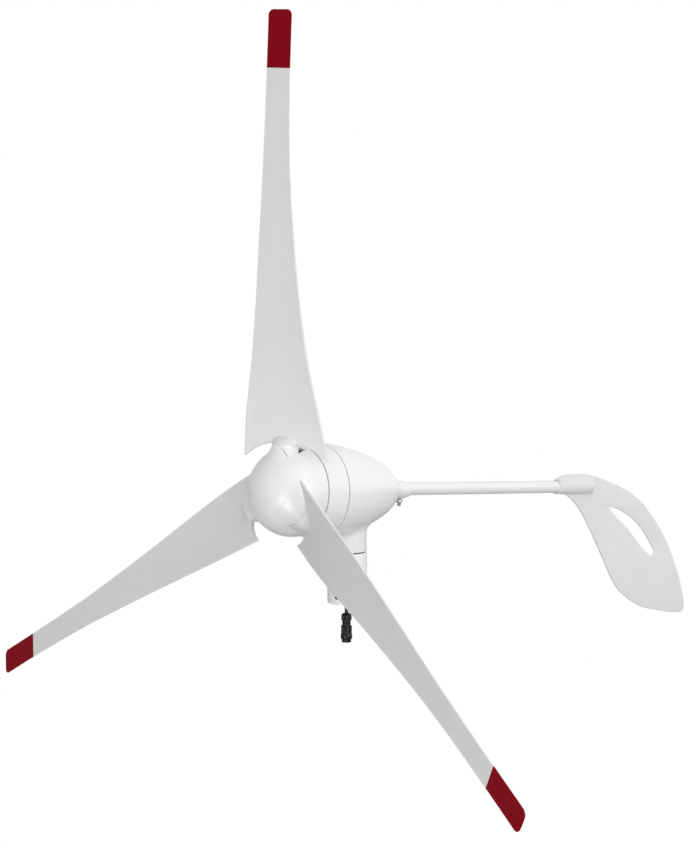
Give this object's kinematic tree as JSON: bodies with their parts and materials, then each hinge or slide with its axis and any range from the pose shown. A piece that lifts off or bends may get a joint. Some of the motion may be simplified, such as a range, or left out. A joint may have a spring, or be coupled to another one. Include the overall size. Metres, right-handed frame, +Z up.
{
  "type": "wind turbine",
  "caption": "Small pole-top wind turbine with a ball spinner, fishtail-root blades, a teardrop nacelle on a yawing neck, and a tail vane on a boom.",
  "frame": {"origin": "on the yaw axis, at the middle of the pole sleeve's open lower end", "axes": "+Z up the yaw axis, -Y the way the rotor faces, +Y the way the tail boom points"},
  "size_m": [1.1223, 0.9576, 0.9963],
  "materials": {
    "white_shell": "gloss white powder coat",
    "blade_white": "satin moulded nylon, light grey-white",
    "blade_red": "satin dark red band",
    "steel": "bare stainless steel",
    "dark_steel": "dark plated steel",
    "aluminium": "as cast and turned",
    "laminations": "oiled sheet steel",
    "copper": "enamelled copper",
    "magnet": "sintered magnet",
    "brass": "turned brass",
    "carbon": "carbon brush",
    "insulator": "moulded insulator",
    "cable_black": "matt cable jacket",
    "connector_black": "satin moulded nylon"
  },
  "bodies": {
    "pole_mount": {"pole_sleeve": "white_shell", "clamp_screw_1": "dark_steel", "clamp_screw_2": "dark_steel", "clamp_screw_3": "dark_steel", "yaw_shaft": "steel", "yaw_bearing_lower_inner": "steel", "yaw_bearing_upper_inner": "steel", "yaw_nut": "steel", "slip_ring_core": "insulator", "slip_ring_1": "brass", "slip_ring_2": "brass", "slip_ring_3": "brass", "cable_grommet": "cable_black", "inner_lead": "cable_black", "output_cable": "cable_black", "connector_gland": "connector_black", "connector_body": "connector_black"},
    "head": {"nacelle_shell": "white_shell", "generator_housing": "white_shell", "rear_bearing_bracket": "aluminium", "housing_bolt_1": "dark_steel", "housing_bolt_2": "dark_steel", "housing_bolt_3": "dark_steel", "stator_core": "laminations", "winding_front": "copper", "winding_rear": "copper", "front_bearing_outer": "steel", "rear_bearing_outer": "steel", "yaw_bearing_lower_outer": "steel", "yaw_bearing_upper_outer": "steel", "brush_holder": "insulator", "brush_1": "carbon", "brush_2": "carbon", "brush_3": "carbon", "tail_boom": "white_shell", "tail_bolt": "steel", "tail_nut": "steel", "tail_vane": "blade_white"},
    "rotor": {"nose_cone": "white_shell", "spinner_back_plate": "aluminium", "back_plate_screw_1": "dark_steel", "back_plate_screw_2": "dark_steel", "back_plate_screw_3": "dark_steel", "hub": "aluminium", "hub_nut": "steel", "main_shaft": "steel", "front_bearing_inner": "steel", "rear_bearing_inner": "steel", "magnet_rotor": "laminations", "ring_magnet": "magnet", "blade_1": "blade_white", "blade_2": "blade_white", "blade_3": "blade_white", "blade_tip_1": "blade_red", "blade_tip_2": "blade_red", "blade_tip_3": "blade_red", "blade_bolt_1": "steel", "blade_bolt_2": "steel", "blade_bolt_3": "steel"},
    "connector_ring": {"coupling_ring": "connector_black"}
  },
  "joints": [
    {"name": "yaw", "type": "hinge", "parent": "pole_mount", "child": "head", "pos_m": [0, 0, 0.1575], "axis": [0, 0, 1], "continuous": true},
    {"name": "rotor_spin", "type": "hinge", "parent": "head", "child": "rotor", "pos_m": [0, 0, 0.1575], "axis": [0, -0.9962, 0.0872], "continuous": true},
    {"name": "coupling_ring_turn", "type": "hinge", "parent": "pole_mount", "child": "connector_ring", "pos_m": [-0.00103, -0.00113, -0.0159], "axis": [0.0074, 0.0079, 0.9999], "continuous": true}
  ]
}
